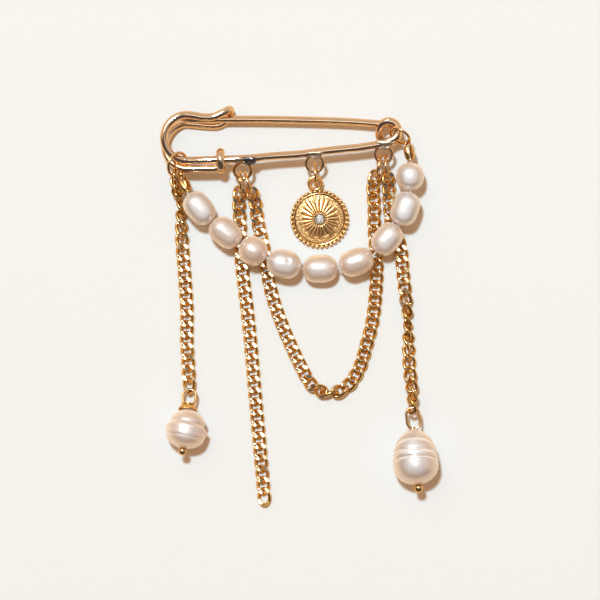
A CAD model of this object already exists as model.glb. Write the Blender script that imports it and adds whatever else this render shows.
import math
import bmesh
import bpy
import numpy as np
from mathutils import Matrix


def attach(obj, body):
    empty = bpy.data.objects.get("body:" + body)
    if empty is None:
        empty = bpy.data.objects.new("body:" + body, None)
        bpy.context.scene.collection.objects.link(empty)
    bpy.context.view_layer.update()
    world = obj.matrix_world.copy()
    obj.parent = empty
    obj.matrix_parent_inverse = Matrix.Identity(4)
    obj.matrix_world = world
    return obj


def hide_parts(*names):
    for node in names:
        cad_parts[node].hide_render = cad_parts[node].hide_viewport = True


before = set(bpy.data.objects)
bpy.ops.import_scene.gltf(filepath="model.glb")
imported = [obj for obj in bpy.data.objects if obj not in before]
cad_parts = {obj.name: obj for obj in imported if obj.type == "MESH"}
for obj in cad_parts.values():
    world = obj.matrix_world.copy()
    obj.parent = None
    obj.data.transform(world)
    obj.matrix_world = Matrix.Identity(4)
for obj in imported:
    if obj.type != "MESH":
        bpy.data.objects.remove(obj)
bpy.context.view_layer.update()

# All lengths of the object are in mm, in the coordinates of the part's own source
placeShift = np.array([0.0, -0.2, 0.0])
mm = 0.001


# small maths
def unit(v):
    v = np.asarray(v, float)
    return v / np.linalg.norm(v)


def turnX(angle):
    c, s = math.cos(math.radians(angle)), math.sin(math.radians(angle))
    return np.array([[1, 0, 0], [0, c, -s], [0, s, c]])


def turnY(angle):
    c, s = math.cos(math.radians(angle)), math.sin(math.radians(angle))
    return np.array([[c, 0, s], [0, 1, 0], [-s, 0, c]])


def turnZ(angle):
    c, s = math.cos(math.radians(angle)), math.sin(math.radians(angle))
    return np.array([[c, -s, 0], [s, c, 0], [0, 0, 1]])


def aimAt(way):
    # turns +Z to a direction
    return turnZ(math.degrees(math.atan2(way[1], way[0]))) @ turnY(math.degrees(math.acos(way[2])))


def placed(part, turn=np.eye(3), at=(0, 0, 0)):
    verts, faces = part
    return verts @ np.asarray(turn).T + np.asarray(at, float), faces


def joined(parts):
    verts, faces, start = [], [], 0
    for v, f in parts:
        verts.append(v)
        faces += [[i + start for i in face] for face in f]
        start += len(v)
    return np.vstack(verts), faces


def arcPoints(centre, r, start, end, steps, zStart, zEnd):
    t = np.linspace(0, 1, steps + 1)
    a = np.radians(start + (end - start) * t)
    return np.column_stack([centre[0] + r * np.cos(a), centre[1] + r * np.sin(a),
                            zStart + (zEnd - zStart) * t])


def circlePath(r, angles, heights=0.0):
    a = np.radians(angles)
    return np.column_stack([r * np.cos(a), r * np.sin(a), heights + 0 * a])


def onCircle(r, angle, height=0.0):
    a = math.radians(angle)
    return np.array([r * math.cos(a), r * math.sin(a), height])


def smoothRows(rows, steps):
    # an even curve through rows of values, the one that the part's source uses for its chains
    p = np.asarray(rows, float)
    out = []
    for i in range(len(p) - 1):
        a, b, c, d = p[max(i - 1, 0)], p[i], p[i + 1], p[min(i + 2, len(p) - 1)]
        for k in range(steps):
            t = k / steps
            out.append(0.5 * (2 * b + (c - a) * t + (2 * a - 5 * b + 4 * c - d) * t * t
                              + (3 * b - a - 3 * c + d) * t ** 3))
    return np.array(out + [p[-1]])


def wirePath(points, spacing, apart=0.02):
    # a wire bends evenly, so its curve is eased by the distance between points, then stepped evenly
    p = [np.asarray(points[0], float)]
    for q in points[1:]:
        if np.linalg.norm(np.asarray(q) - p[-1]) > apart:
            p.append(np.asarray(q, float))
    p = np.array(p)
    p = np.vstack([2 * p[0] - p[1], p, 2 * p[-1] - p[-2]])
    knots = np.concatenate([[0], np.cumsum(np.linalg.norm(np.diff(p, axis=0), axis=1) ** 0.5)])
    out = []
    for i in range(1, len(p) - 2):
        k0, k1, k2, k3 = knots[i - 1:i + 3]
        for t in np.linspace(k1, k2, 9)[:-1]:
            a1 = (k1 - t) / (k1 - k0) * p[i - 1] + (t - k0) / (k1 - k0) * p[i]
            a2 = (k2 - t) / (k2 - k1) * p[i] + (t - k1) / (k2 - k1) * p[i + 1]
            a3 = (k3 - t) / (k3 - k2) * p[i + 1] + (t - k2) / (k3 - k2) * p[i + 2]
            b1 = (k2 - t) / (k2 - k0) * a1 + (t - k0) / (k2 - k0) * a2
            b2 = (k3 - t) / (k3 - k1) * a2 + (t - k1) / (k3 - k1) * a3
            out.append((k2 - t) / (k2 - k1) * b1 + (t - k1) / (k2 - k1) * b2)
    out = np.array(out + [p[-2]])
    run = np.concatenate([[0], np.cumsum(np.linalg.norm(np.diff(out, axis=0), axis=1))])
    s = np.linspace(0, run[-1], max(int(run[-1] / spacing), 4) + 1)
    return np.column_stack([np.interp(s, run, out[:, k]) for k in range(3)])


# mesh makers
def gridFaces(rings, sides, closed=False):
    last = rings if closed else rings - 1
    i, k = np.meshgrid(np.arange(last), np.arange(sides), indexing="ij")
    j, m = (i + 1) % rings, (k + 1) % sides
    return np.stack([i * sides + k, i * sides + m, j * sides + m, j * sides + k], -1).reshape(-1, 4).tolist()


def endCaps(rings, sides):
    # one face over the first ring and one over the last
    return [list(range(sides)), [(rings - 1) * sides + k for k in range(sides)][::-1]]


def sweep(path, radius, sides, closed=False, rounded=True, squeeze=1.0):
    # a wire along a path; rounded gives it filed ends, otherwise they are cut square
    p = np.asarray(path, float)
    r = np.broadcast_to(np.asarray(radius, float), len(p)).copy()
    if not closed and rounded:
        ends = np.radians([22, 44, 62, 76, 88])
        first, final = unit(p[0] - p[1]), unit(p[-1] - p[-2])
        p = np.vstack([p[0] + first * (r[0] * np.sin(ends[::-1]))[:, None], p,
                       p[-1] + final * (r[-1] * np.sin(ends))[:, None]])
        r = np.concatenate([r[0] * np.cos(ends[::-1]), r, r[-1] * np.cos(ends)])
    n = len(p)
    if closed:
        way = np.roll(p, -1, 0) - np.roll(p, 1, 0)
    else:
        way = np.vstack([p[1] - p[0], p[2:] - p[:-2], p[-1] - p[-2]])
    way /= np.linalg.norm(way, axis=1)[:, None]
    side = np.zeros_like(p)
    start = np.array([0.0, 0.0, 1.0]) if abs(way[0][2]) < 0.9 else np.array([0.0, 1.0, 0.0])
    side[0] = unit(np.cross(way[0], start))
    for i in range(1, n):
        side[i] = unit(side[i - 1] - way[i] * (side[i - 1] @ way[i]))
    up = np.cross(side, way)
    if closed:
        back = unit(side[-1] - way[0] * (side[-1] @ way[0]))
        slip = math.atan2(back @ up[0], back @ side[0])
        turn = -slip * np.arange(n) / n
        side, up = (np.cos(turn)[:, None] * side + np.sin(turn)[:, None] * up,
                    np.cos(turn)[:, None] * up - np.sin(turn)[:, None] * side)
    a = 2 * math.pi * np.arange(sides) / sides
    verts = (p[:, None] + r[:, None, None] * (np.cos(a)[None, :, None] * side[:, None]
             + squeeze * np.sin(a)[None, :, None] * up[:, None])).reshape(-1, 3)
    faces = gridFaces(n, sides, closed)
    if not closed:
        faces += endCaps(n, sides)
    return verts, faces


def lathe(profile, sides, closed=False):
    # rows of radius and height, turned about Z
    rows = np.asarray(profile, float)
    a = np.radians(360 * np.arange(sides) / sides)
    verts = np.stack([rows[:, 0, None] * np.cos(a), rows[:, 0, None] * np.sin(a),
                      np.broadcast_to(rows[:, 1, None], (len(rows), sides))], -1).reshape(-1, 3)
    faces = gridFaces(len(rows), sides, closed)
    if not closed:
        faces += endCaps(len(rows), sides)
    return verts, faces


def wireRing(r, wire, sides, step):
    # a closed ring of wire, soldered shut
    return sweep(circlePath(r, np.arange(0, 360, step)), wire / 2, sides, closed=True)


def jumpRing(r, wire, split, gap=2.5, offset=0.05, sides=16, steps=72):
    # a bent wire whose cut ends meet, a little out of line
    angles = np.linspace(split + gap / 2, split + 360 - gap / 2, steps)
    path = circlePath(r, angles, offset * np.linspace(-1, 1, steps))
    return sweep(path, wire / 2, sides, rounded=False)


def ball(d, steps):
    t = np.radians(np.linspace(-88, 88, steps // 2 + 1))
    return lathe(np.column_stack([d / 2 * np.cos(t), d / 2 * np.sin(t)]), steps)


def ballRing(count, d, steps, r, height):
    # small balls, evenly round a circle
    return [placed(ball(d, steps), at=onCircle(r, 360 * (k + 0.5) / count, height)) for k in range(count)]


def ripple(verts, seed, amount, reach, waves=7):
    # slow uneven growth, the same on every run
    rng = np.random.default_rng(seed)
    out = np.zeros(len(verts))
    for _ in range(waves):
        wave = rng.normal(size=3) / reach
        out += np.sin(verts @ wave + rng.uniform(0, 2 * math.pi)) / waves
    length = np.linalg.norm(verts, axis=1)[:, None]
    return verts * (1 + amount * out[:, None] / np.maximum(length, 0.1))


def makePiece(name, part, material, body, replaced, sharp=None, masks=None, turned=True):
    # turned works out afresh which side of each face is its front
    verts, faces = part
    mesh = bpy.data.meshes.new(name)
    mesh.from_pydata(((verts + placeShift) * mm).tolist(), [], faces)
    if turned:
        work = bmesh.new()
        work.from_mesh(mesh)
        bmesh.ops.recalc_face_normals(work, faces=work.faces)
        work.to_mesh(mesh)
        work.free()
    mesh.shade_smooth()
    if sharp:
        mesh.set_sharp_from_angle(angle=math.radians(sharp))
    for maskName, values in (masks or {}).items():
        layer = mesh.attributes.new(maskName, "FLOAT", "POINT")
        layer.data.foreach_set("value", np.asarray(values, np.float32))
    mesh.materials.append(material)
    piece = bpy.data.objects.new(name, mesh)
    bpy.context.scene.collection.objects.link(piece)
    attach(piece, body)
    if replaced:
        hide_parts(*replaced)
    return piece


# shader helpers
def addNode(tree, kind, **settings):
    node = tree.nodes.new(kind)
    for key, value in settings.items():
        if hasattr(node, key):
            setattr(node, key, value)
        else:
            node.inputs[key].default_value = value
    return node


def feed(tree, value, socket):
    # a number or a colour is set, and anything else is a socket to link
    if isinstance(value, (int, float)):
        socket.default_value = value
    elif isinstance(value, tuple):
        socket.default_value = value if len(value) == 4 else (*value, 1.0)
    else:
        tree.links.new(value, socket)


def combine(tree, operation, a, b):
    node = addNode(tree, "ShaderNodeMath", operation=operation)
    feed(tree, a, node.inputs[0])
    feed(tree, b, node.inputs[1])
    return node.outputs[0]


def times(tree, a, b):
    return combine(tree, "MULTIPLY", a, b)


def plus(tree, a, b):
    return combine(tree, "ADD", a, b)


def mixColours(tree, factor, a, b, blend="MIX"):
    node = addNode(tree, "ShaderNodeMix", data_type="RGBA", blend_type=blend)
    for place, value in ((0, factor), (6, a), (7, b)):
        feed(tree, value, node.inputs[place])
    return node.outputs[2]


def ranged(tree, value, fromLow, fromHigh, low, high, smooth=False):
    node = tree.nodes.new("ShaderNodeMapRange")
    node.interpolation_type = "SMOOTHSTEP" if smooth else "LINEAR"
    for socket, setting in zip(node.inputs[1:5], (fromLow, fromHigh, low, high)):
        socket.default_value = setting
    tree.links.new(value, node.inputs[0])
    return node.outputs[0]


def noise(tree, vector, scale, detail=3.0, roughness=0.5):
    node = addNode(tree, "ShaderNodeTexNoise", Detail=detail, Roughness=roughness)
    tree.links.new(vector, node.inputs["Vector"])
    feed(tree, scale, node.inputs["Scale"])
    return node.outputs["Fac"]


def maskOf(tree, name):
    return addNode(tree, "ShaderNodeAttribute", attribute_name=name).outputs["Fac"]


def newGroup(name, inputs, outputs):
    group = bpy.data.node_groups.new(name, "ShaderNodeTree")
    for label, kind, value in inputs:
        socket = group.interface.new_socket(name=label, in_out="INPUT", socket_type="NodeSocket" + kind)
        if value is not None:
            socket.default_value = value
    for label, kind in outputs:
        group.interface.new_socket(name=label, in_out="OUTPUT", socket_type="NodeSocket" + kind)
    return group, group.nodes.new("NodeGroupInput"), group.nodes.new("NodeGroupOutput")


def useGroup(tree, group, vector, **values):
    node = tree.nodes.new("ShaderNodeGroup")
    node.node_tree = group
    tree.links.new(vector, node.inputs["Vector"])
    for key, value in values.items():
        feed(tree, value, node.inputs[key])
    return node


def newMaterial(name, **constants):
    material = bpy.data.materials.new(name)
    material.use_nodes = True
    tree = material.node_tree
    shader = tree.nodes["Principled BSDF"]
    for key, value in constants.items():
        shader.inputs[key.replace("_", " ")].default_value = value
    vector = tree.nodes.new("ShaderNodeTexCoord").outputs["Object"]
    return material, tree, shader, vector


def addBump(tree, shader, height, strength, depth):
    bump = addNode(tree, "ShaderNodeBump", Strength=strength, Distance=depth * mm)
    tree.links.new(height, bump.inputs["Height"])
    tree.links.new(bump.outputs["Normal"], shader.inputs["Normal"])


# surface effects that the materials share
wearSpec = {"cloudDetail": 4.0, "clouds": (0.35, 0.7, 0.0, 1.0), "rubDetail": 2.0, "rubDull": 0.6,
            "rubHigh": 0.4}
nacreSpec = {"slowDetail": 2.0, "warmPart": (0.42, 0.66, 0.0, 1.0), "coolPart": (0.5, 0.32, 0.0, 1.0),
             "fineScale": 1400.0, "fineHigh": 0.25, "spotScale": 700.0, "spots": (0.0, 0.1, 1.0, 0.0)}


def makePolishGroup(s):
    # tone of worn plating: soft clouds that are duller too, and fine rub marks
    group, given, result = newGroup(
        "polishWear",
        [("Vector", "Vector", None), ("Tone", "Color", (1, 1, 1, 1)), ("Deep", "Color", (0.5, 0.3, 0.1, 1)),
         ("Cloud Scale", "Float", 300.0), ("Cloud Amount", "Float", 0.3), ("Smoothness", "Float", 0.1),
         ("Dullness", "Float", 0.1), ("Rub Scale", "Float", 4000.0)],
        [("Color", "Color"), ("Roughness", "Float"), ("Height", "Float")])
    vector, dullness = given.outputs["Vector"], given.outputs["Dullness"]
    cloud = noise(group, vector, given.outputs["Cloud Scale"], s["cloudDetail"])
    clouds = ranged(group, cloud, *s["clouds"], True)
    amount = times(group, clouds, given.outputs["Cloud Amount"])
    colour = mixColours(group, amount, given.outputs["Tone"], given.outputs["Deep"])
    group.links.new(colour, result.inputs["Color"])
    rub = noise(group, vector, given.outputs["Rub Scale"], s["rubDetail"])
    rubbed = times(group, times(group, rub, dullness), s["rubDull"])
    spread = plus(group, times(group, clouds, dullness), rubbed)
    group.links.new(plus(group, given.outputs["Smoothness"], spread), result.inputs["Roughness"])
    group.links.new(plus(group, times(group, rub, s["rubHigh"]), cloud), result.inputs["Height"])
    return group


def makeNacreGroup(s):
    # uneven growth and faint colour play of nacre
    group, given, result = newGroup(
        "nacreTone",
        [("Vector", "Vector", None), ("Body", "Color", (0.7, 0.65, 0.65, 1)),
         ("Blush", "Color", (0.8, 0.6, 0.5, 1)), ("Cool", "Color", (0.6, 0.62, 0.7, 1)),
         ("Scale", "Float", 260.0), ("Play", "Float", 0.4)],
        [("Color", "Color"), ("Height", "Float"), ("Spots", "Float")])
    vector, play = given.outputs["Vector"], given.outputs["Play"]
    slow = noise(group, vector, given.outputs["Scale"], s["slowDetail"])
    warm = times(group, ranged(group, slow, *s["warmPart"], True), play)
    cool = times(group, ranged(group, slow, *s["coolPart"], True), play)
    tinted = mixColours(group, warm, given.outputs["Body"], given.outputs["Blush"])
    group.links.new(mixColours(group, cool, tinted, given.outputs["Cool"]), result.inputs["Color"])
    fine = noise(group, vector, s["fineScale"])
    group.links.new(plus(group, times(group, fine, s["fineHigh"]), slow), result.inputs["Height"])
    cells = addNode(group, "ShaderNodeTexVoronoi", Scale=s["spotScale"])
    group.links.new(vector, cells.inputs["Vector"])
    group.links.new(ranged(group, cells.outputs["Distance"], *s["spots"]), result.inputs["Spots"])
    return group


polishWear = makePolishGroup(wearSpec)
nacreTone = makeNacreGroup(nacreSpec)


def makeGold(name, tone, deep, smoothness, dullness, cloudScale=300.0, cloudAmount=0.3, bump=0.05, tints=()):
    material, tree, shader, vector = newMaterial(name, Metallic=1.0, Specular_Tint=(1.0, 0.8, 0.55, 1.0))
    wear = useGroup(tree, polishWear, vector, Tone=tone, Deep=deep, Smoothness=smoothness,
                    Dullness=dullness, **{"Cloud Scale": cloudScale, "Cloud Amount": cloudAmount})
    colour = wear.outputs["Color"]
    for maskName, tint in tints:
        colour = mixColours(tree, maskOf(tree, maskName), colour, tint)
    tree.links.new(colour, shader.inputs["Base Color"])
    tree.links.new(wear.outputs["Roughness"], shader.inputs["Roughness"])
    addBump(tree, shader, wear.outputs["Height"], bump, 0.05)
    return material


castSpec = {"tone": (1.0, 0.62, 0.28), "deep": (0.9, 0.49, 0.17), "shade": (0.34, 0.13, 0.04),
            "beadTone": (1.0, 0.72, 0.36), "smoothness": 0.11, "dullness": 0.1, "cloudScale": 500.0,
            "cloudAmount": 0.35, "grain": 4600.0, "pits": (0.05, 0.5, 0.0, 1.0), "pitShade": 0.6,
            "pitDeep": 0.16, "fieldRough": 0.1, "satinRough": 0.17}


def makeCasting(s):
    # a polished casting with a stippled field outside the rays, dark down in the cuts, bright on the beads
    material, tree, shader, vector = newMaterial("medallionGold", Metallic=1.0)
    wear = useGroup(tree, polishWear, vector, Tone=s["tone"], Deep=s["deep"], Smoothness=s["smoothness"],
                    Dullness=s["dullness"],
                    **{"Cloud Scale": s["cloudScale"], "Cloud Amount": s["cloudAmount"]})
    cut, field, satin, bead = [maskOf(tree, maskName) for maskName in ("cut", "field", "satin", "bead")]
    grain = addNode(tree, "ShaderNodeTexVoronoi", Scale=s["grain"], feature="SMOOTH_F1")
    tree.links.new(vector, grain.inputs["Vector"])
    pits = ranged(tree, grain.outputs["Distance"], *s["pits"])
    pitted = times(tree, combine(tree, "SUBTRACT", 1.0, pits), field)
    colour = mixColours(tree, times(tree, pitted, s["pitShade"]), wear.outputs["Color"], s["shade"])
    colour = mixColours(tree, cut, colour, s["shade"])
    colour = mixColours(tree, bead, colour, s["beadTone"])
    tree.links.new(colour, shader.inputs["Base Color"])
    spread = plus(tree, times(tree, field, s["fieldRough"]), times(tree, satin, s["satinRough"]))
    tree.links.new(plus(tree, wear.outputs["Roughness"], spread), shader.inputs["Roughness"])
    addBump(tree, shader, times(tree, pits, field), 1.0, s["pitDeep"])
    return material


pearlGloss = {"play": 0.8, "facing": 0.38, "middle": (0.18, 0.02, 0.0, 0.9), "warmMiddle": 0.25,
              "rim": (0.22, 0.66, 0.0, 0.9), "roughness": 0.25, "spotRough": 0.15, "bump": 0.25,
              "bumpDeep": 0.25, "grooveBrown": (0.42, 0.25, 0.16), "grooveShare": 0.6,
              "ridgePale": (0.98, 0.9, 0.83), "ridgeShare": 0.9}


def makePearl(s, name, silver, body, edge, blush, cool, warm, rings=None):
    # nacre: silvery where it faces out, warmer on its shoulder, light at its rim
    material, tree, shader, vector = newMaterial(
        name, Coat_Weight=0.8, Coat_Roughness=0.55, Coat_IOR=2.2, Specular_IOR_Level=1.0, IOR=2.2)
    nacre = useGroup(tree, nacreTone, vector, Body=body, Blush=blush, Cool=cool, Play=s["play"])
    warmth = maskOf(tree, "warmth")
    toned = mixColours(tree, warmth, nacre.outputs["Color"], warm)
    facing = addNode(tree, "ShaderNodeLayerWeight", Blend=s["facing"]).outputs["Facing"]
    middle = ranged(tree, facing, *s["middle"], True)
    middle = times(tree, middle, ranged(tree, warmth, 0.0, 1.0, 1.0, s["warmMiddle"]))
    colour = mixColours(tree, middle, toned, silver)
    colour = mixColours(tree, ranged(tree, facing, *s["rim"], True), colour, edge)
    if rings:
        # grown rings: brown down in each groove, pale along its raised edge
        grown = maskOf(tree, rings)
        groove = ranged(tree, grown, 0.0, -1.0, 0.0, s["grooveShare"])
        colour = mixColours(tree, groove, colour, s["grooveBrown"])
        ridge = ranged(tree, grown, 0.0, 1.0, 0.0, s["ridgeShare"])
        colour = mixColours(tree, ridge, colour, s["ridgePale"])
    tree.links.new(colour, shader.inputs["Base Color"])
    dull = times(tree, nacre.outputs["Spots"], s["spotRough"])
    tree.links.new(plus(tree, dull, s["roughness"]), shader.inputs["Roughness"])
    addBump(tree, shader, nacre.outputs["Height"], s["bump"], s["bumpDeep"])
    return material


# each gold has a tone, a deeper tone, a smoothness, a dullness, its clouds' scale and amount, and a bump
pinGold = makeGold("champagneGold", (0.88, 0.62, 0.4), (0.8, 0.52, 0.31), 0.018, 0.012, 160.0, 0.35, 0.1)
solderGold = makeGold("solderedNeck", (0.7, 0.5, 0.34), (0.54, 0.38, 0.25), 0.3, 0.15, 900.0, 0.4, 0.2)
darkSolder = makeGold("darkSolder", (0.2, 0.17, 0.15), (0.07, 0.06, 0.055), 0.2, 0.25, 1100.0, 0.8, 0.6)
ringGold = makeGold("ringGold", (0.9, 0.57, 0.26), (0.74, 0.41, 0.15), 0.05, 0.04)
chainGold = makeGold("curbChainGold", (0.95, 0.61, 0.24), (0.82, 0.47, 0.15), 0.06, 0.05,
                     tints=(("tone", (0.62, 0.35, 0.12)), ("facet", (1.0, 0.84, 0.56))))
tipGold = makeGold("beadTipGold", (0.76, 0.46, 0.16), (0.56, 0.3, 0.1), 0.12, 0.08)
headPinGold = makeGold("headPinGold", (0.74, 0.46, 0.21), (0.58, 0.32, 0.12), 0.05, 0.04)
capGold = makeGold("capGold", (0.86, 0.5, 0.19), (0.62, 0.33, 0.11), 0.12, 0.12, 700.0, 0.4)
bezelGold = makeGold("darkBezel", (0.5, 0.34, 0.2), (0.2, 0.11, 0.06), 0.16, 0.2, 900.0, 0.6)
medalGold = makeCasting(castSpec)
# each pearl's tones: silver, body, edge, blush, cool and warm
pearlNacre = makePearl(pearlGloss, "peachPearl", (0.96, 0.91, 0.91), (0.52, 0.405, 0.345), (1.0, 0.82, 0.7),
                       (0.58, 0.4, 0.29), (0.46, 0.4, 0.4), (0.63, 0.39, 0.25))
dropNacre = makePearl(pearlGloss, "creamPearl", (0.76, 0.7, 0.69), (0.54, 0.4, 0.33), (0.95, 0.79, 0.72),
                      (0.6, 0.38, 0.27), (0.48, 0.41, 0.4), (0.7, 0.44, 0.29), rings="growth")


def makeThread():
    material, tree, shader, vector = newMaterial("silkThread", Roughness=0.7, Sheen_Weight=0.3)
    twist = addNode(tree, "ShaderNodeTexWave", Scale=2600.0, Distortion=1.5, wave_type="BANDS")
    tree.links.new(vector, twist.inputs["Vector"])
    colour = mixColours(tree, twist.outputs["Fac"], (0.72, 0.66, 0.56), (0.88, 0.84, 0.77))
    tree.links.new(colour, shader.inputs["Base Color"])
    addBump(tree, shader, twist.outputs["Fac"], 0.5, 0.04)
    return material


def makeStone():
    # a foil-backed stone: its facets look light or dark by what lies behind each
    material, tree, shader, vector = newMaterial("clearStone", Transmission_Weight=0.2, IOR=1.9)
    haze = noise(tree, vector, 900.0)
    light = mixColours(tree, haze, (0.9, 0.9, 0.92), (1.0, 0.96, 0.92))
    colour = mixColours(tree, maskOf(tree, "facet"), light, (0.13, 0.09, 0.07))
    tree.links.new(colour, shader.inputs["Base Color"])
    tree.links.new(ranged(tree, haze, 0.3, 0.7, 0.01, 0.05), shader.inputs["Roughness"])
    return material


silkThread = makeThread()
clearStone = makeStone()
print("materials made")

# the kilt pin: guard, hook, bar and needle are the points that their wire passes
pinSpec = {
    "wireR": 0.8, "needleR": 0.77, "frontZ": 4.1, "rearZ": 0.8, "barZ": 5.0, "needleZ": 2.45,
    "guard": [[-16.2, 28.35, 4.85], [-19.5, 28.25, 4.75], [-22.8, 28.2, 4.6]],
    "guardBend": [-22.8, 32.89], "headR": 4.69, "headBend": [-23.0, 34.6],
    "hook": [[-21.4, 37.4, 0.8], [-17.8, 37.1, 0.8], [-16.4, 37.3, 0.8], [-15.2, 38.0, 0.8],
             [-14.5, 39.0, 0.9], [-14.25, 39.9, 1.5], [-14.2, 40.3, 2.4], [-14.35, 40.35, 3.3],
             [-14.9, 40.1, 3.95], [-16.1, 39.5, 4.1], [-17.6, 38.9, 4.1], [-19.6, 38.8, 4.1],
             [-21.4, 39.1, 4.1]],
    "bar": [[-19.4, 30.0, 4.8], [-12.8, 30.2, 5.2], [-9.5, 30.4, 5.22], [-5.6, 30.8, 5.1], [0.1, 31.2, 5],
            [4.6, 31.8, 5], [8.5, 32.2, 5], [11.6, 32.5, 5], [14.9, 33.0, 5], [16.5, 33.3, 5],
            [17.5, 33.65, 5]],
    "coilAt": [18.2, 35.4], "coilR": 1.97, "coilLift": 0.6, "coilEnd": 240,
    "guardArc": [262, 98, 12], "headArc": [92, 268, 14], "coilArc": [-58, 90, 9], "needleArc": [88, -110, 16],
    "needle": [[-24.2, 38.32], [-22.2, 38.32], [-13.8, 38.4], [-3.0, 38.3], [10.3, 37.9], [15.7, 37.5]],
    "taper": 2.6, "pointR": 0.12, "sides": 24, "spacing": 0.28,
}


def framePath(s):
    # the coil's front turn rises from the bar and sinks to the needle's height
    coil, barZ = s["coilAt"], s["barZ"]
    t = np.linspace(0.1, 1, 10)
    drop = (1 - np.cos(math.pi * t)) / 2
    riser = circlePath(s["coilR"], 90 + (s["coilEnd"] - 90) * t, barZ + (s["needleZ"] - barZ) * drop)
    riser[:, 0] += coil[0]
    riser[:, 1] += coil[1] + s["coilLift"] * (1 - drop)
    return np.vstack([
        s["guard"], arcPoints(s["guardBend"], s["headR"], *s["guardArc"], 4.5, s["rearZ"]), s["hook"],
        arcPoints(s["headBend"], s["headR"], *s["headArc"], s["frontZ"], barZ - 0.3), s["bar"],
        arcPoints([coil[0], coil[1] + s["coilLift"]], s["coilR"], *s["coilArc"], barZ, barZ), riser])


def needleWire(s):
    # the needle runs from its point to the coil's rear turn, and thins towards the point
    z = s["needleZ"]
    points = np.vstack([[[x, y, z] for x, y in s["needle"]],
                        arcPoints(s["coilAt"], s["coilR"], *s["needleArc"], z, z)])
    path = wirePath(points, s["spacing"])
    fromPoint = np.linalg.norm(path - path[0], axis=1)
    full = np.sin(np.clip(fromPoint / s["taper"], 0, 1) * math.pi / 2)
    return sweep(path, s["pointR"] + (s["needleR"] - s["pointR"]) * full, s["sides"])


# three loops from left to right, each with its solder; the left one is of another gold, on dark solder
loopSpec = {"at": [[-11.6, 27.9], [3.1, 29.3], [17.2, 31.2]], "r": 1.74, "wire": 0.7, "z": 4.5, "tilt": 15,
            "neckNarrow": [1.1, 1.1, 0.95], "neckWide": [1.9, 1.75, 1.75], "neckShift": [1.25, 0.1, 0.1],
            "neckOver": [0.3, 0.1, 0.62], "neckDown": [0.6, 0.72, 0.72], "neckProud": 0.12,
            "neckThick": 0.42, "neckThicker": 0.2, "topClose": 0.2, "footClose": 0.12,
            "lumps": [0.14, 0.02, 0.03]}


def closing(past, over):
    # 1 until an end comes near, then down like a quarter circle
    return np.sqrt(np.clip(1 - np.clip(past / over, 0, 1) ** 2, 0.003, 1))


def flattened(values, power):
    return np.sign(values) * np.abs(values) ** power


def solderNeck(s, number, top, x, barY, barZ, barR):
    # solder that runs from the loop's top up over the bar's front, wider where it meets the bar
    rings, sides = 30, 40
    narrow, wide, lumpy = s["neckNarrow"][number], s["neckWide"][number], s["lumps"][number]
    t = np.linspace(0, 1, rings)
    low = top - s["neckDown"][number]
    y = low + t * (barY + s["neckOver"][number] - low)
    spread = narrow + (wide - narrow) * np.clip(t * 1.3, 0, 1) ** 1.2
    onBar = np.sqrt(np.maximum(barR ** 2 - (y - barY) ** 2, 0)) + s["neckProud"]
    thick = np.maximum(s["neckThick"] + s["neckThicker"] * t, onBar)
    close = closing(t - (1 - s["topClose"]), s["topClose"]) * closing(s["footClose"] - t, s["footClose"])
    a = 2 * math.pi * np.arange(sides) / sides
    u = (spread * close)[:, None] * flattened(np.cos(a), 0.6)
    v = np.broadcast_to(y[:, None], (rings, sides))
    w = (thick - 0.1 * (1 - close))[:, None] * flattened(np.sin(a), 0.22)
    coarse = np.sin(u * 3.7 + x) * np.sin(v * 4.6 + 2 * x)
    fine = np.sin(u * 8.1) * np.sin(v * 9.7 + x)
    lumps = lumpy * (coarse + 0.5 * fine)
    verts = np.stack([u * (1 + lumps), v, w + lumps * np.sign(w)], -1).reshape(-1, 3)
    return placed((verts, gridFaces(rings, sides) + endCaps(rings, sides)), at=[x, 0, barZ])


def barAt(s, x):
    bar = np.array(s["bar"])
    return [float(np.interp(x, bar[:, 0], bar[:, k])) for k in (1, 2)]


pinPath = wirePath(framePath(pinSpec), pinSpec["spacing"])
# no part of the wire dips under the surface that it lies on
pinPath[:, 2] = np.maximum(pinPath[:, 2], pinSpec["wireR"])
pinWire = sweep(pinPath, pinSpec["wireR"], pinSpec["sides"])
makePiece("kiltPinWire", pinWire, pinGold, "frame", ["pin_frame"])
for number, (x, y) in enumerate(loopSpec["at"]):
    loop = placed(wireRing(loopSpec["r"], loopSpec["wire"], 18, 5.0), turnX(loopSpec["tilt"]),
                  [x, y, loopSpec["z"]])
    dark = number == 0
    makePiece(f"solderedLoop{number + 1}", loop, ringGold if dark else pinGold, "frame", None)
    shift = loopSpec["neckShift"][number]
    barY, barZ = barAt(pinSpec, x + shift)
    neck = solderNeck(loopSpec, number, y + loopSpec["r"], x + shift, barY, barZ, pinSpec["wireR"])
    makePiece(f"solderNeck{number + 1}", neck, darkSolder if dark else solderGold, "frame", None)

makePiece("needle", needleWire(pinSpec), pinGold, "needle", ["pin_stem"])

collarSpec = {"at": [-16.1, 29.85, 4.95], "turn": 2, "r": 2.62, "width": 1.74, "crown": 0.82, "lip": 0.1}


def crownedBand(s):
    # a half-round band, closed over the wires that it holds
    half = s["width"] / 2
    a = np.radians(np.linspace(0, 180, 25))
    face = [[s["r"] - s["crown"] * (1 - math.sin(c)), half * math.cos(c)] for c in a]
    inner = s["r"] - s["crown"] - s["lip"]
    return [[0.02, half * 0.96], [inner, half * 0.98]] + face + [[inner, -half * 0.98], [0.02, -half * 0.96]]


collar = placed(lathe(crownedBand(collarSpec), 64), turnZ(collarSpec["turn"]) @ turnY(90), collarSpec["at"])
makePiece("collarBand", collar, pinGold, "frame", ["collar"], sharp=50)
print("kilt pin made")

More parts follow.
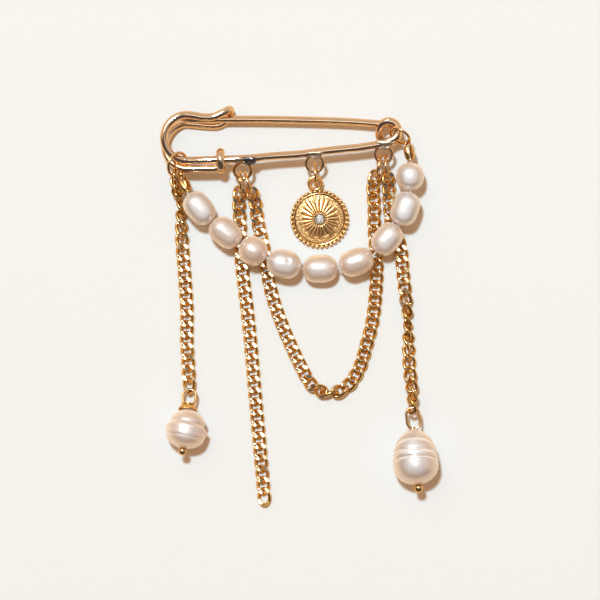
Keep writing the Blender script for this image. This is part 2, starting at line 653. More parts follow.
# the jump rings: those on the loops by name, place, turn, lean and split, then one at each end of the pin
ringSpec = {
    "r": 2.2, "wire": 0.6,
    "standing": [["long_chain", [-12.12, 25.49, 3.14], 1.6, 2, 150],
                 ["swag_left", [-10.56, 25.41, 3.16], 16, 0, 60],
                 ["medallion", [3.2, 27.1, 2.95], 2, 0, 200],
                 ["swag_right", [16.13, 28.75, 3.14], -12, 0, 240],
                 ["right_chain", [17.7, 28.7, 3.16], 4, 0, 110]],
    "left": {"at": [-24.91, 29.06, 4.88], "turn": [3, 46, -17], "split": 35, "r": 2.5},
    "right": {"at": [20.48, 34.96, 5.47], "turn": [58, -9, -25], "split": 100, "r": 2.2},
}


def spinAll(turn):
    return turnZ(turn[2]) @ turnY(turn[1]) @ turnX(turn[0])


def makeRing(key, node, r, split, turn, at):
    ring = placed(jumpRing(r, ringSpec["wire"], split), turn, at)
    makePiece("jumpRing_" + key, ring, ringGold, "frame", [node], sharp=50)


for key, at, turn, lean, split in ringSpec["standing"]:
    makeRing(key, "ring_" + key, ringSpec["r"], split, turnZ(turn) @ turnY(90 + lean), at)
for key in ("left", "right"):
    own = ringSpec[key]
    makeRing(key, key + "_ring", own["r"], own["split"], spinAll(own["turn"]), own["at"])

# the bead tips: hook is where each one's tongue rolls round its ring, open how far its leaves stand apart
tipSpec = {
    "left": {"at": [-22.85, 23.55, 5.1], "turn": 118, "hook": 312, "open": 7},
    "right": {"at": [22.7, 30.0, 5.0], "turn": 102, "hook": 330, "open": 3},
    "leafR": 0.93, "seatR": 0.45, "wall": 0.16, "span": 166, "edgeThin": 0.35, "apart": 0.1,
    "seat": [[0.3, -0.14], [0.5, -0.16], [0.6, -0.05], [0.6, 0.12], [0.5, 0.2], [0.3, 0.2]],
    "neck": [[0.02, -0.35], [0.34, -0.3], [0.4, -0.12], [0.3, 0.02], [0.02, 0.05]],
    "hookR": 0.55, "hookWire": 0.26, "hookFlat": 1.5, "reach": 0.5,
}


def cuppedLeaf(s, long):
    # one folded side: a thin cup, widest below its middle, that closes at the top
    rings, sides = 22, 18
    t = np.linspace(0, 1, rings)
    across = np.linspace(-1, 1, sides)
    r = s["seatR"] + (s["leafR"] - s["seatR"]) * np.sin(math.pi * t ** 0.8) ** 0.65
    half = math.radians(s["span"] / 2) * np.sqrt(np.clip(1 - (2 * t - 1) ** 4 * 0.8, 0, 1))
    a = np.outer(half, across)
    height = np.broadcast_to((t * long)[:, None], a.shape)
    skins = []
    for inset in (0.0, s["wall"]):
        skin = r[:, None] - inset + s["edgeThin"] * inset * np.abs(across) ** 8
        skins.append(np.stack([skin * np.cos(a), skin * np.sin(a), height], -1))
    verts = np.concatenate(skins).reshape(-1, 3)
    faces, shift = [], rings * sides
    for i in range(rings - 1):
        for k in range(sides - 1):
            q = [i * sides + k, i * sides + k + 1, (i + 1) * sides + k + 1, (i + 1) * sides + k]
            faces += [q, [v + shift for v in q][::-1]]
    border = (list(range(sides)) + [i * sides + sides - 1 for i in range(1, rings)]
              + [(rings - 1) * sides + k for k in range(sides - 2, -1, -1)]
              + [i * sides for i in range(rings - 2, 0, -1)])
    for a, b in zip(border, border[1:] + border[:1]):
        faces.append([a, a + shift, b + shift, b])
    return verts, faces


def beadTip(s, own, ring):
    ringTurn = spinAll(ring["turn"])
    wireAt = np.array(ring["at"]) + ringTurn @ onCircle(ring["r"], own["hook"])
    wireWay = ringTurn @ onCircle(1, own["hook"] + 90)
    at = np.array(own["at"])
    top = wireAt + s["reach"] * unit(at - wireAt)
    long = float(np.linalg.norm(top - at))
    flat = top - wireAt - ((top - wireAt) @ wireWay) * wireWay
    start = wireAt + s["hookR"] * unit(flat)
    leaf = placed(cuppedLeaf(s, long), turnY(own["open"]), [s["apart"], 0, 0])
    seat = lathe(s["seat"], 24, closed=True)
    neck = placed(lathe(s["neck"], 20), at=[0, 0, long])
    body = joined([leaf, placed(leaf, turnZ(180)), seat, neck])
    body = placed(body, aimAt(unit(top - at)) @ turnZ(own["turn"]), at)
    # the tongue rolls round the ring's wire
    curl = circlePath(s["hookR"], np.linspace(-40, 285, 34))
    tongue = sweep(curl, s["hookWire"] / 2, 14, squeeze=s["hookFlat"])
    shank = sweep(np.linspace(start, top + 0.1 * (at - top), 5), s["hookWire"] / 2, 14)
    return joined([body, placed(tongue, aimAt(wireWay), wireAt), shank])


for key in ("left", "right"):
    tip = beadTip(tipSpec, tipSpec[key], ringSpec[key])
    makePiece("beadTip_" + key, tip, tipGold, "frame", [key + "_bead_tip"], sharp=55)
print("rings and bead tips made")

# the pearls on their thread: each row is a place, a length, a thickness and a turn
pearlSpec = {
    "rows": [[-20.5, 20.2, 4.75, 7.3, 5.5, -50], [-15.1, 15.2, 4.4, 7.1, 5.5, -40],
             [-9.5, 11.5, 4.5, 6.0, 6.0, -22], [-3.2, 8.8, 4.3, 7.1, 5.9, -14],
             [4.2, 7.8, 3.2, 7.2, 5.7, 2], [11.6, 9.2, 4.2, 7.3, 5.5, 22],
             [17.9, 13.9, 4.3, 7.1, 5.5, 50], [21.6, 20.1, 5.0, 7.1, 5.6, 70],
             [22.6, 26.65, 4.9, 5.7, 5.6, 88]],
    "warmth": [0.1, 0.75, 1.0, 0.3, 0.7, 0.9, 0.45, 0.05, 0.15],
    "flat": [2.9, 3.2, 2.3, 2.6, 2.8, 2.8, 2.9, 3.2, 2.4], "shoulder": 2.05, "uneven": 0.07,
    "hole": 0.4, "pit": [[0.02, 0.7], [0.26, 0.6], [0.32, 0.2]],
    "dimple": {"pearl": 3, "at": [-2.25, 9.43], "deep": 0.2, "wide": 0.42, "rim": 0.8, "rimHigh": 0.45,
               "rimWide": 0.22},
    "threadR": 0.17, "reach": 0.48, "knot": 0.62, "knotUneven": 0.12,
}


def pearlWay(rows, i):
    before, after = rows[max(i - 1, 0)], rows[min(i + 1, len(rows) - 1)]
    flat = math.hypot(after[0] - before[0], after[1] - before[1])
    a = math.radians(rows[i][5])
    return unit([math.cos(a), math.sin(a), (after[2] - before[2]) / flat])


def pearlBody(s, i):
    x, y, z, long, d, _ = s["rows"][i]
    flat, shoulder = s["flat"][i], s["shoulder"]
    reach = long / 2 * (1 - (2 * s["hole"] / d) ** shoulder) ** (1 / flat)
    heights = -reach * np.cos(np.linspace(0, math.pi, 49))
    body = [[d / 2 * max(1 - abs(2 * h / long) ** flat, 0) ** (1 / shoulder), h] for h in heights]
    pit = [[r, h - reach] for r, h in s["pit"]]
    verts, faces = lathe(pit + body + [[r, -h] for r, h in pit[::-1]], 56)
    verts = ripple(verts, 40 + i, s["uneven"], 2.2)
    verts, faces = placed((verts, faces), aimAt(pearlWay(s["rows"], i)), [x, y, z])
    dimple = s["dimple"]
    if i == dimple["pearl"]:
        away = np.hypot(verts[:, 0] - dimple["at"][0], verts[:, 1] - dimple["at"][1])
        rim = dimple["rimHigh"] * np.exp(-((away - dimple["rim"]) / dimple["rimWide"]) ** 2)
        sink = dimple["deep"] * (np.exp(-(away / dimple["wide"]) ** 2) - rim)
        verts[:, 2] -= np.where(verts[:, 2] > z, sink, 0)
    return verts, faces


for i in range(len(pearlSpec["rows"])):
    part = pearlBody(pearlSpec, i)
    makePiece(f"pearl{i + 1}", part, pearlNacre, "frame", [f"pearl_{i + 1}"],
              masks={"warmth": [pearlSpec["warmth"][i]] * len(part[0])})

threadPoints = [tipSpec["left"]["at"]]
for i, row in enumerate(pearlSpec["rows"]):
    half = pearlSpec["reach"] * row[3] * pearlWay(pearlSpec["rows"], i)
    threadPoints += [np.array(row[:3]) - half, np.array(row[:3]) + half]
threadPoints.append(tipSpec["right"]["at"])
knotVerts, knotFaces = ball(pearlSpec["knot"], 16)
knot = (ripple(knotVerts, 7, pearlSpec["knotUneven"], 0.3), knotFaces)
threadParts = [sweep(wirePath(threadPoints, 0.3), pearlSpec["threadR"], 10)]
threadParts += [placed(knot, at=tipSpec[key]["at"]) for key in ("left", "right")]
makePiece("thread", joined(threadParts), silkThread, "frame", ["thread"])
print("pearls made")

# the curb chains: each row is a place, with its height over the links' rest, and a roll
linkSpec = {"halfLong": 1.66, "halfWide": 1.08, "twist": -0.5, "wire": 0.35, "steps": 48, "sides": 18,
            "topCut": 0.69, "underCut": 0.8, "restWide": 1.08, "restWire": 0.31, "clear": 0.02,
            "cadLong": 1.66, "pitch": 2.3, "look": 0.8, "loose": 1.1, "looseDip": 0.6, "shadeSpread": 0.35,
            "rolledShade": 0.85}
chainRows = {
    "left": [[-25.63, 27.75, 3.33, -122], [-25.25, 24.4, 2.2, -118], [-24.6, 22.3, 0.75, -97],
             [-24.15, 20.4, 0.2, -78], [-24.2, 18.2, 0.05, -58], [-24.15, 15.6, 0.02, -34],
             [-24.05, 13.2, 0, -12], [-23.9, 10.9, 0, 0], [-23.7, 8.6, 0, 0], [-23.1, -0.6, 0, 0],
             [-23.1, -6.8, 0, 0], [-22.8, -11.9, 0.15, 0], [-22.7, -15.2, 0.75, 0]],
    "long": [[-12.25, 24.5, 1.74, 0], [-12.39, 21.5, 0.5, 0], [-12.3, 19.3, 0.12, 0],
             [-12.2, 17.0, 0, 0], [-12.0, 12.7, 0, 0], [-11.8, 8.2, 0, 0], [-10.3, -4.7, 0, 0],
             [-9.0, -19.3, 0, 0], [-7.4, -37.0, 0.05, 0], [-7.2, -40.4, 0.1, 30]],
    "swag": [[-10.13, 24.59, 1.91, 0], [-9.13, 21.73, 0.6, 0], [-8.8, 19.4, 0.16, 0],
             [-8.4, 16.8, 0, 0], [-7.3, 11.9, 0, 0], [-6.7, 7.6, 0, 0], [-5.5, 2.0, 0, 0],
             [-3.5, -3.8, 0, 0], [-1.3, -8.9, 0, 0], [0.3, -12.2, 0, 0], [1.65, -14.8, 0, 0],
             [2.9, -16.3, 0, 10], [4.6, -17.25, 0, 46], [6.5, -17.6, 0, 104], [8.4, -17.0, 0, 152],
             [10.1, -15.85, 0, 174], [11.35, -14.15, 0, 176], [12.5, -11.8, 0, 177], [13.5, -8.4, 0, 178],
             [15.1, -1.8, 0, 180], [15.8, 6.7, 0, 180], [15.7, 10.5, 0, 180], [15.3, 16.0, 0, 180],
             [15.3, 20.0, 0.03, 180], [15.2, 22.2, 0.2, 180], [15.08, 24.83, 0.6, 180],
             [15.72, 27.77, 1.84, 180]],
    "right": [[18.06, 27.75, 1.84, 0], [18.26, 24.75, 0.56, 0], [18.35, 22.2, 0.16, 0],
              [18.9, 17.0, 0, 0], [20.6, 12.6, 0, 0], [21.1, 8.0, 0, 0], [21.5, 4.0, 0, 12],
              [21.9, 0.3, 0, 52], [22.1, -2.7, 0, 85], [22.3, -6.5, 0, 124], [22.4, -10.2, 0.02, 163],
              [22.6, -13.6, 0.15, 198], [22.9, -16.0, 0.65, 222], [23.0, -18.2, 1.45, 246],
              [23.06, -21.65, 2.6, 270]],
}


def curbLink(s):
    # a twisted oval of round wire, with its high spots cut flat and bright on both sides
    a = 2 * math.pi * np.arange(s["steps"]) / s["steps"]
    path = np.column_stack([s["halfLong"] * np.cos(a), s["halfWide"] * np.sin(a), s["twist"] * np.sin(2 * a)])
    verts, faces = sweep(path, s["wire"], s["sides"], closed=True)
    mesh = bpy.data.meshes.new("linkWork")
    mesh.from_pydata(verts.tolist(), [], faces)
    work = bmesh.new()
    work.from_mesh(mesh)
    bmesh.ops.recalc_face_normals(work, faces=work.faces)
    for height, way in ((s["topCut"], 1), (-s["underCut"], -1)):
        cut = bmesh.ops.bisect_plane(work, geom=work.verts[:] + work.edges[:] + work.faces[:], dist=1e-5,
                                     plane_co=(0, 0, height), plane_no=(0, 0, way), clear_outer=True)
        border = [e for e in cut["geom_cut"] if isinstance(e, bmesh.types.BMEdge)]
        bmesh.ops.holes_fill(work, edges=border, sides=0)
    bmesh.ops.remove_doubles(work, verts=work.verts[:], dist=0.004)
    bmesh.ops.recalc_face_normals(work, faces=work.faces)
    work.verts.index_update()
    work.faces.ensure_lookup_table()
    verts = np.array([v.co[:] for v in work.verts])
    faces = [[v.index for v in f.verts] for f in work.faces]
    work.free()
    bpy.data.meshes.remove(mesh)
    facet = (np.abs(verts[:, 2] - s["topCut"]) < 1e-3) | (np.abs(verts[:, 2] + s["underCut"]) < 1e-3)
    return (verts, faces), facet


def chainLinks(s, rows, link, seed):
    rng = np.random.default_rng(seed)
    path = smoothRows(rows, 8)
    roll = path[:, 3]
    rest = (s["restWide"] * np.abs(np.sin(np.radians(roll))) + np.abs(s["twist"] * np.cos(np.radians(roll)))
            + s["restWire"] + s["clear"])
    path[:, 2] += rest
    run = np.concatenate([[0], np.cumsum(np.linalg.norm(np.diff(path[:, :3], axis=0), axis=1))])
    count = round((run[-1] - 2 * s["cadLong"]) / s["pitch"]) + 1
    step = (run[-1] - 2 * s["cadLong"]) / (count - 1)

    def along(d):
        return np.array([np.interp(d, run, path[:, k]) for k in range(4)])

    verts, faces, tone = [], [], []
    for j in range(count):
        d = s["cadLong"] + j * step
        at = along(d)
        way = unit(along(min(d + s["look"], run[-1]))[:3] - along(max(d - s["look"], 0))[:3])
        side = unit(np.cross([0, 0, 1], way))
        up = np.cross(way, side)
        lean = math.radians(at[3] + rng.uniform(-s["loose"], s["loose"]))
        across = math.cos(lean) * side + math.sin(lean) * up
        out = np.cross(way, across)
        dip = math.radians(rng.uniform(-s["loose"], s["loose"]) * s["looseDip"])
        way, out = math.cos(dip) * way + math.sin(dip) * out, math.cos(dip) * out - math.sin(dip) * way
        start = len(verts) * len(link[0])
        laid = link[0] @ np.array([way, across, out]) + at[:3]
        laid[:, 2] += max(s["clear"] / 2 - laid[:, 2].min(), 0)
        verts.append(laid)
        faces += [[i + start for i in f] for f in link[1]]
        shade = rng.uniform(0, s["shadeSpread"]) + s["rolledShade"] * abs(math.sin(lean))
        tone += [min(shade, 1)] * len(link[0])
    return (np.vstack(verts), faces), tone


link, linkFacet = curbLink(linkSpec)
for seed, (key, rows) in enumerate(chainRows.items()):
    part, tone = chainLinks(linkSpec, rows, link, 300 + seed)
    makePiece("curbChain_" + key, part, chainGold, "frame", ["chain_" + key], sharp=24,
              masks={"tone": tone, "facet": np.tile(linkFacet, len(tone) // len(linkFacet))}, turned=False)

# a rounder, more twisted link carries the small drop
dropLinkSpec = {"halfLong": 1.64, "halfWide": 1.0, "twist": -0.6, "wire": 0.33, "steps": 48, "sides": 18,
                "topCut": 0.82, "underCut": 0.88, "at": [-22.62, -15.87, 1.98], "way": [0.03, -1.0, 0.17],
                "lean": -8, "tone": 0.6}


def linkTurn(s):
    way = unit(s["way"])
    side = unit(np.cross([0, 0, 1], way))
    return np.column_stack([way, side, np.cross(way, side)]) @ turnX(s["lean"])


dropLink, dropFacet = curbLink(dropLinkSpec)
makePiece("jumpRing_drop", placed(dropLink, linkTurn(dropLinkSpec), dropLinkSpec["at"]), chainGold, "frame",
          ["drop_ring_left"], sharp=24, turned=False,
          masks={"tone": [dropLinkSpec["tone"]] * len(dropFacet), "facet": dropFacet})
print("chains made")

# the medallion: each row of its edge is a radius, a height and how dark it is there
medalSpec = {
    "at": [4.1, 18.1, 0.46], "tilt": 4, "turn": 6.9, "rimZ": 0.75,
    "beads": 37, "beadRing": 5.68, "beadD": 0.78, "beadZ": 0.8, "domeR": 5.05, "domeZ": 1.65,
    "fieldSteps": [[0.9, 4.5, 44], [4.58, 4.93, 6]], "fieldUp": 0.1,
    "rays": 24, "rayFrom": 1.35, "rayTo": [4.35, 3.8, 4.15, 3.7], "rayUneven": 0.25,
    "rayDeep": 0.17, "rayHigh": 0.17, "raySway": [0.045, 0.03], "rayStart": 0.25, "rayEnd": 0.45,
    "grooveFrom": 0.6, "grooveOver": 0.34, "grooveShade": 0.9, "cupR": 1.36, "cupWide": 0.1, "cupShade": 0.6,
    "edge": [[4.96, 0.78, 0.85], [5.0, 0.66, 0.85], [5.05, 0.66, 0.85], [5.09, 0.86, 0.1], [5.16, 0.93, 0],
             [5.26, 0.94, 0], [5.34, 0.91, 0], [5.39, 0.82, 0.3], [5.44, 0.62, 0.8], [5.58, 0.52, 0.95],
             [5.74, 0.46, 0.95], [5.84, 0.38, 0.7], [5.86, 0.28, 0.2], [5.8, 0.1, 0], [5.7, 0.02, 0],
             [5.0, 0, 0], [3.0, 0, 0], [0.6, 0, 0]],
    "bailR": 1.28, "bailWire": 0.75, "bailOut": 7.35, "bezelZ": 2.0,
    "bezel": [[1.0, -0.7], [1.02, -0.25], [1.06, -0.12], [1.14, -0.08], [1.22, -0.16], [1.26, -0.4],
              [1.3, -0.6]],
    "prongs": 8, "prongRing": 1.03, "prongD": 0.3, "prongDown": 0.1, "stoneR": 1.0, "stoneDown": 0.38,
    "table": [0.38, 0.4], "kite": [0.8, 0.235], "girdle": [0.03, -0.02], "point": -0.6,
}


def medalFrame(s):
    return turnX(s["tilt"]) @ turnZ(s["turn"])


def medalDisc(s):
    # a domed field with raised rays, a fine groove, a polished ring and a low bed for the beads
    sides = 512
    field = np.concatenate([np.linspace(*row) for row in s["fieldSteps"]])
    edge = np.array(s["edge"])
    radii = np.concatenate([field, edge[:, 0]])
    a = 2 * math.pi * np.arange(sides) / sides
    foot = s["rimZ"] + s["fieldUp"]
    dome = foot + (s["domeZ"] - foot) * (1 - (field / s["domeR"]) ** 2)
    heights = np.concatenate([dome, edge[:, 1]])
    rng = np.random.default_rng(11)
    lengths = np.resize(s["rayTo"], s["rays"]) + rng.uniform(-s["rayUneven"], s["rayUneven"], s["rays"])
    # hand-cut rays stand unevenly
    cut = (a + s["raySway"][0] * np.sin(3 * a + 1) + s["raySway"][1] * np.sin(5 * a + 2)) % (2 * math.pi)
    near = np.round(cut * s["rays"] / (2 * math.pi)).astype(int)
    u = np.broadcast_to(np.abs(cut * s["rays"] / (2 * math.pi) - near)[None, :] * 2, (len(radii), sides))
    reach = lengths[near % s["rays"]][None, :]
    ends = (np.clip((radii[:, None] - s["rayFrom"]) / s["rayStart"], 0, 1)
            * np.sqrt(np.clip((reach - radii[:, None]) / s["rayEnd"], 0, 1)))
    ends[len(field):] = 0
    groove = np.clip((u - s["grooveFrom"]) / s["grooveOver"], 0, 1) ** 1.5 * ends
    z = heights[:, None] + s["rayHigh"] * (1 - u ** 2.2) * ends - s["rayDeep"] * groove
    verts = np.stack([radii[:, None] * np.cos(a), radii[:, None] * np.sin(a), z], -1).reshape(-1, 3)
    faces = gridFaces(len(radii), sides) + endCaps(len(radii), sides)[1:]
    onField = (np.arange(len(radii)) < len(field))[:, None]
    inRays = np.clip((reach + 0.1 - radii[:, None]) / 0.3, 0, 1)
    dark = s["grooveShade"] * groove
    roundCup = s["cupShade"] * (np.abs(field[:, None] - s["cupR"]) < s["cupWide"])
    dark[:len(field)] = np.maximum(dark[:len(field)], roundCup)
    dark[len(field):] = edge[:, 2:]
    masks = {"cut": dark, "field": onField * (1 - inRays), "satin": onField * np.ones_like(u)}
    return verts, faces, {name: mask.ravel() for name, mask in masks.items()}


def medalBody(s):
    # the disc with its beads and its bail; only the disc has cuts and a field, and only the beads are bright
    discVerts, discFaces, masks = medalDisc(s)
    rim = joined(ballRing(s["beads"], s["beadD"], 16, s["beadRing"], s["beadZ"]))
    bail = placed(wireRing(s["bailR"], s["bailWire"], 18, 6.0), at=[0, s["bailOut"], s["rimZ"]])
    extra = len(rim[0]) + len(bail[0])
    masks = {name: np.concatenate([mask, np.zeros(extra)]) for name, mask in masks.items()}
    masks["bead"] = np.repeat([0, 1, 0], [len(discVerts), len(rim[0]), len(bail[0])])
    return joined([(discVerts, discFaces), rim, bail]), masks


def stoneBezel(s):
    # a turned cup with prongs, measured from its own top
    prongs = ballRing(s["prongs"], s["prongD"], 12, s["prongRing"], -s["prongDown"])
    return placed(joined([lathe(s["bezel"], 48, closed=True)] + prongs), at=[0, 0, s["bezelZ"]])


def cutStone(s):
    # table, eight kites and sixteen girdle facets above, eight long facets below
    r, points = s["stoneR"], [[0, 0, s["point"]]]
    for a in range(0, 360, 45):
        b = a + 22.5
        points.append(onCircle(s["table"][0] * r, a, s["table"][1]))
        points += [onCircle(r, angle, height) for height in s["girdle"] for angle in (a, b)]
        points.append(onCircle(s["kite"][0] * r, b, s["kite"][1]))
    work = bmesh.new()
    for p in points:
        work.verts.new(p)
    hull = bmesh.ops.convex_hull(work, input=work.verts[:])
    bmesh.ops.delete(work, geom=hull["geom_interior"], context="VERTS")
    bmesh.ops.dissolve_limit(work, angle_limit=0.02, verts=work.verts[:], edges=work.edges[:])
    bmesh.ops.split_edges(work, edges=work.edges[:])
    rng = np.random.default_rng(5)
    verts, faces, tone = [], [], []
    for face in work.faces:
        shade = rng.choice([0.0, 0.15, 0.6, 0.95], p=[0.3, 0.15, 0.2, 0.35])
        faces.append(list(range(len(verts), len(verts) + len(face.verts))))
        verts += [v.co[:] for v in face.verts]
        tone += [0.04 if face.normal.z > 0.98 else shade] * len(face.verts)
    work.free()
    stone = placed((np.array(verts), faces), at=[0, 0, s["bezelZ"] - s["stoneDown"]])
    return stone, {"facet": tone}


medal, medalMasks = medalBody(medalSpec)
stone, stoneMasks = cutStone(medalSpec)
medal, bezel, stone = [placed(part, medalFrame(medalSpec), medalSpec["at"])
                       for part in (medal, stoneBezel(medalSpec), stone)]
makePiece("sunMedallion", medal, medalGold, "frame", ["medallion"], sharp=60, masks=medalMasks)
makePiece("stoneBezel", bezel, bezelGold, "frame", None, sharp=50)
makePiece("cutStone", stone, clearStone, "frame", ["medallion_stone"], sharp=1, masks=stoneMasks,
          turned=False)
print("medallion made")

# the drops: each groove has a place, a depth, a width, a wave and a start
dropSpec = {
    "small": {"at": [-23.25, -25.8, 4.18], "yaw": -9, "pitch": 6, "long": 8.15, "d": 8.2, "wide": 0.61,
              "grooves": [[0.39, 0.15, 0.055, 0.04, 0.7], [0.7, 0.035, 0.03, 0.03, 2.6]], "arch": 0.03,
              "tinted": 0.15, "warmth": 0.6,
              "loopAt": [-22.5, -18.2, 2.3], "loopLow": -1.5, "pinYaw": -7, "pinPitch": 15, "pinLong": 11.75,
              "ball": 1.75},
    "large": {"at": [23.8, -32.2, 4.68], "yaw": 4.5, "pitch": 2, "long": 11.4, "d": 9.3, "wide": 0.635,
              "grooves": [[0.28, 0.055, 0.028, 0.03, 0.4], [0.43, 0.04, 0.02, 0.035, 2.4],
                          [0.5, 0.035, 0.013, 0.02, 1.0], [0.585, 0.045, 0.014, 0.02, 1.9],
                          [0.63, 0.035, 0.012, 0.03, 0.2]], "arch": 0.13, "tinted": 1.0, "warmth": 0.15,
              "loopAt": [23.15, -21.9, 3.9], "loopLow": -2.55, "pinYaw": 4.5, "pinPitch": 5, "pinLong": 15.2,
              "ball": 1.95},
    "pinWire": 0.56, "loopR": 1.32, "capDown": 1.6,
    "cap": [[0.38, 0], [1.25, 0], [1.38, 0.05], [1.42, 0.16], [1.4, 0.34], [1.32, 0.42], [1.32, 0.5],
            [1.46, 0.6], [1.56, 0.74], [1.6, 0.86], [1.78, 1.0], [1.96, 1.3], [1.96, 1.42], [1.86, 1.5],
            [1.72, 1.42], [1.45, 1.15], [0.9, 0.9], [0.38, 0.85]],
    "scallops": 12, "scallopHigh": 0.06, "scallopOut": 0.25, "flareFrom": 1.35, "flareOver": 0.5,
    "full": 2.2, "uneven": 0.09, "ridgeAt": 1.8, "ridgeHigh": 0.35,
}


def dropPearl(s, own, seed):
    # grown rings run round it unevenly
    steps, sides = 130, 80
    k = np.arange(1, steps)
    t = (1 - np.cos(math.pi * k / steps)) / 2
    u = np.where(t < own["wide"], (own["wide"] - t) / own["wide"], (t - own["wide"]) / (1 - own["wide"]))
    r = own["d"] / 2 * np.sqrt(np.maximum(1 - u ** s["full"], 0))
    verts, faces = lathe(np.column_stack([r, -t * own["long"]]), sides)
    a = np.arctan2(verts[:, 1], verts[:, 0])
    at = -verts[:, 2] / own["long"]
    dent, tone = np.zeros(len(verts)), np.zeros(len(verts))
    for place, deep, width, wave, start in own["grooves"]:
        off = (at - place - wave * np.sin(a + start) - own["arch"] * np.sin(a)) / width
        grown = 0.65 + 0.35 * np.sin(2 * a + 3 * start)
        dent += deep * grown * (np.exp(-off ** 2) - s["ridgeHigh"] * np.exp(-(off - s["ridgeAt"]) ** 2))
        brown = np.exp(-off ** 2) * np.clip(np.sin(5 * a + 9 * start), 0, 1)
        tone += np.exp(-((off - 1.7) / 0.7) ** 2) - brown
    verts[:, :2] *= (1 - dent)[:, None]
    middle = np.array([0, 0, own["long"] / 2])
    verts = ripple(verts + middle, seed, s["uneven"], 2.4) - middle
    turn = turnZ(own["yaw"]) @ turnX(-own["pitch"])
    top = turn @ np.array([0, own["long"] * own["wide"], 0])
    masks = {"growth": np.clip(tone, -1, 1) * own["tinted"], "warmth": np.full(len(verts), own["warmth"])}
    return placed((verts, faces), turn @ turnX(-90), own["at"] + top), masks


def pinTurn(own):
    return turnZ(own["pinYaw"]) @ turnX(-own["pinPitch"])


def headPin(s, own):
    # the wire is bent over into a long loop, whose end comes back to the neck
    r, low = s["loopR"], own["loopLow"]
    loop = circlePath(r, np.linspace(0, 180, 20), np.linspace(0.28, 0.04, 20))
    back = [[-0.35, low - 0.45, 0.3], [0.35, low - 0.42, 0.3], [0.9, low - 0.2, 0.3], [1.22, low + 0.4, 0.3]]
    down = [[-r, -0.4, 0.03], [-1.2, low + 0.5, 0], [-0.85, low - 0.05, 0], [-0.3, low - 0.5, 0],
            [0, low - 1.1, 0], [0, -own["pinLong"], 0]]
    wire = sweep(wirePath(np.vstack([back, loop, down]), 0.14), s["pinWire"] / 2, 16)
    end = placed(ball(own["ball"], 32), at=[0, -own["pinLong"], 0])
    return placed(joined([wire, end]), pinTurn(own), own["loopAt"])


def beadCap(s, own):
    # a stepped cap whose flared rim is scalloped
    verts, faces = lathe(s["cap"], 96, closed=True)
    a = np.arctan2(verts[:, 1], verts[:, 0])
    out = np.hypot(verts[:, 0], verts[:, 1])
    flare = np.clip((out - s["flareFrom"]) / s["flareOver"], 0, 1)
    lift = flare * s["scallopHigh"] * np.cos(s["scallops"] * a)
    verts[:, 2] += lift
    verts[:, :2] *= (1 + s["scallopOut"] * lift)[:, None]
    at = own["loopAt"] + pinTurn(own) @ np.array([0, -s["capDown"], 0])
    return placed((verts, faces), pinTurn(own) @ turnX(90), at)


for seed, key in ((71, "small"), (72, "large")):
    part, masks = dropPearl(dropSpec, dropSpec[key], seed)
    makePiece("dropPearl_" + key, part, dropNacre, "frame", ["drop_pearl_" + key], masks=masks)
for side, key in (("left", "small"), ("right", "large")):
    part = headPin(dropSpec, dropSpec[key])
    makePiece("headPin_" + side, part, headPinGold, "frame", ["headpin_" + side])
part = beadCap(dropSpec, dropSpec["small"])
makePiece("beadCap", part, capGold, "frame", ["bead_cap"], sharp=60)
print("drops made")

# floor, light and camera, in metres
stageSpec = {
    "paper": (0.86, 0.86, 0.86), "sunFrom": (-0.14, 0.33, 1.0), "sunColour": (0.685, 0.905, 1.0),
    "sunStrength": 2.76, "sunAngle": 6.5, "fill": (0.49, 0.265, 0.125), "room": (0.64, 0.57, 0.535),
    "wall": (0.92, 0.9, 0.85), "paperInGold": (0.86, 0.72, 0.5), "fibreShade": 0.985, "nearShade": 0.95,
    "camera": (0.0001, 0.001234, 1.5), "lens": 439.2, "paperHalf": 3.0,
}


def shaded(colour, amount):
    return tuple(c * amount for c in colour)


def makeFloor(s):
    half = s["paperHalf"]
    corners = [(-half, -half, 0), (half, -half, 0), (half, half, 0), (-half, half, 0)]
    mesh = bpy.data.meshes.new("tableTop")
    mesh.from_pydata(corners, [], [[0, 1, 2, 3]])
    material, tree, shader, vector = newMaterial("palePaper", Roughness=0.9, Specular_IOR_Level=0.1)
    fibre = noise(tree, vector, 900.0, 5.0, 0.6)
    tone = ranged(tree, fibre, 0.3, 0.7, 0.0, 1.0)
    even = mixColours(tree, tone, shaded(s["paper"], s["fibreShade"]), s["paper"])
    # the sheet is a little darker towards its near edge
    place = tree.nodes.new("ShaderNodeSeparateXYZ")
    tree.links.new(vector, place.inputs["Vector"])
    falloff = ranged(tree, place.outputs["Y"], -0.07, 0.06, 0.0, 1.0)
    shown = mixColours(tree, falloff, shaded(s["paper"], s["nearShade"]), even)
    seen = tree.nodes.new("ShaderNodeLightPath").outputs["Is Glossy Ray"]
    tree.links.new(mixColours(tree, seen, shown, s["paperInGold"]), shader.inputs["Base Color"])
    addBump(tree, shader, fibre, 0.08, 0.2)
    mesh.materials.append(material)
    floor = bpy.data.objects.new("tableTop", mesh)
    bpy.context.scene.collection.objects.link(floor)


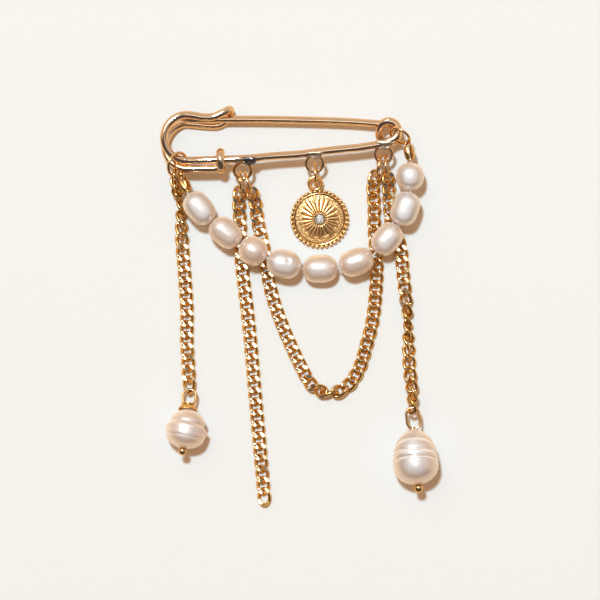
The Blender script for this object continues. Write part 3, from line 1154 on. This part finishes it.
def makeSun(s):
    light = bpy.data.lights.new("windowSun", "SUN")
    light.energy = s["sunStrength"]
    light.color = s["sunColour"]
    light.angle = math.radians(s["sunAngle"])
    lamp = bpy.data.objects.new("windowSun", light)
    x, y, z = s["sunFrom"]
    lamp.rotation_euler = (math.atan2(math.hypot(x, y), z), 0, math.atan2(y, x) + math.pi / 2)
    bpy.context.scene.collection.objects.link(lamp)


# what polished metal sees round it: towards, cosines where it starts and is full, colour, added or not
roomSights = [
    [(-0.25, -0.97, 0.0), 0.05, 0.16, (0.1, 0.095, 0.105), False],
    [(-0.2, -0.2, 0.95), 0.905, 0.945, (0.1, 0.095, 0.105), False],
    [(0.66, -0.1, 0.74), 0.93, 0.98, (0.16, 0.14, 0.13), False],
    [(-0.34, 0.43, 0.83), 0.955, 0.985, (4.2, 4.15, 4.1), True],
    [(0.0, 0.0, 1.0), 0.9958, 0.9988, (2.8, 2.75, 2.65), True],
]


def makeRoom(s):
    world = bpy.data.worlds.new("room")
    bpy.context.scene.world = world
    world.use_nodes = True
    tree = world.node_tree
    back = tree.nodes["Background"]
    way = tree.nodes.new("ShaderNodeTexCoord").outputs["Generated"]
    mirrored = (*s["room"], 1.0)
    for aim, low, high, tint, added in roomSights:
        dot = addNode(tree, "ShaderNodeVectorMath", operation="DOT_PRODUCT")
        tree.links.new(way, dot.inputs[0])
        dot.inputs[1].default_value = tuple(unit(aim))
        share = ranged(tree, dot.outputs["Value"], low, high, 0.0, 1.0, True)
        mirrored = mixColours(tree, share, mirrored, tint, "ADD" if added else "MIX")
    path = tree.nodes.new("ShaderNodeLightPath")
    colour = mixColours(tree, path.outputs["Is Diffuse Ray"], mirrored, s["fill"])
    colour = mixColours(tree, path.outputs["Is Camera Ray"], colour, s["wall"])
    tree.links.new(colour, back.inputs["Color"])


def makeCamera(s):
    data = bpy.data.cameras.new("photoView")
    data.sensor_width = 36.0
    data.lens = s["lens"]
    data.clip_end = 20.0
    camera = bpy.data.objects.new("photoView", data)
    camera.location = s["camera"]
    bpy.context.scene.collection.objects.link(camera)
    bpy.context.scene.camera = camera


makeFloor(stageSpec)
makeSun(stageSpec)
makeRoom(stageSpec)
makeCamera(stageSpec)
bpy.context.scene.view_settings.view_transform = "Standard"
print("stage made")
